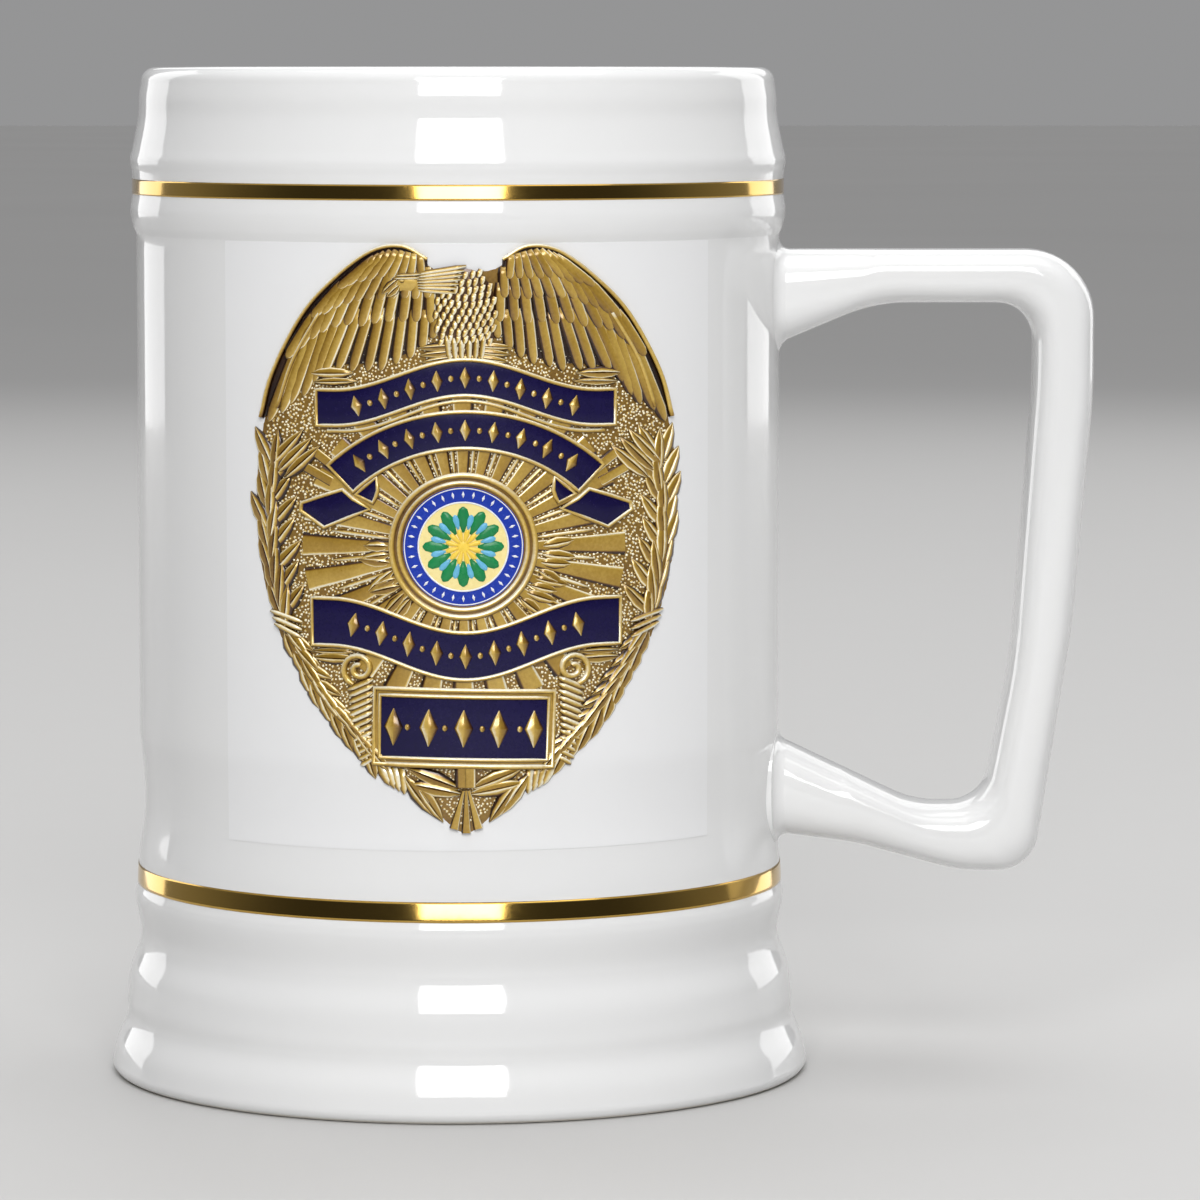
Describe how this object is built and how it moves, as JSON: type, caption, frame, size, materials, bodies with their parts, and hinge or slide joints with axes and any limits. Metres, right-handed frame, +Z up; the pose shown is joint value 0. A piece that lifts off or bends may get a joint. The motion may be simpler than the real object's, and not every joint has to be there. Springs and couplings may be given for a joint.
{
  "type": "beer stein",
  "caption": "Tall straight-walled ceramic beer stein with a D-shaped handle, gold bands at rim and foot and a badge-shaped print on the wall.",
  "frame": {"origin": "centre of the foot ring's resting plane, on the vessel's axis", "axes": "+Z up along the vessel's axis, +X towards the handle, the badge print on the -Y side"},
  "size_m": [0.144, 0.1024, 0.147],
  "materials": {
    "white_glaze": "glossy white glaze, unglazed under the foot ring",
    "band_gold": "bright fired gold lustre",
    "transfer_film": "clear cover coat of the transfer, slightly whiter than the glaze",
    "print_gold": "printed gold with dark lines, glossy",
    "print_navy": "dark navy enamel, glossy",
    "print_blue": "bright blue enamel, glossy",
    "print_picture": "printed colours, glossy"
  },
  "bodies": {
    "root": {"stein_body": "white_glaze", "handle": "white_glaze", "upper_handle_slip": "white_glaze", "lower_handle_slip": "white_glaze", "upper_gold_band": "band_gold", "lower_gold_band": "band_gold", "transfer_film": "transfer_film", "badge_gold_print": "print_gold", "upper_ribbon_print": "print_navy", "middle_ribbon_print": "print_navy", "left_ribbon_tail_print": "print_navy", "right_ribbon_tail_print": "print_navy", "lower_ribbon_print": "print_navy", "plaque_print": "print_navy", "medallion_ring_print": "print_blue", "medallion_picture_print": "print_picture"}
  },
  "joints": []
}
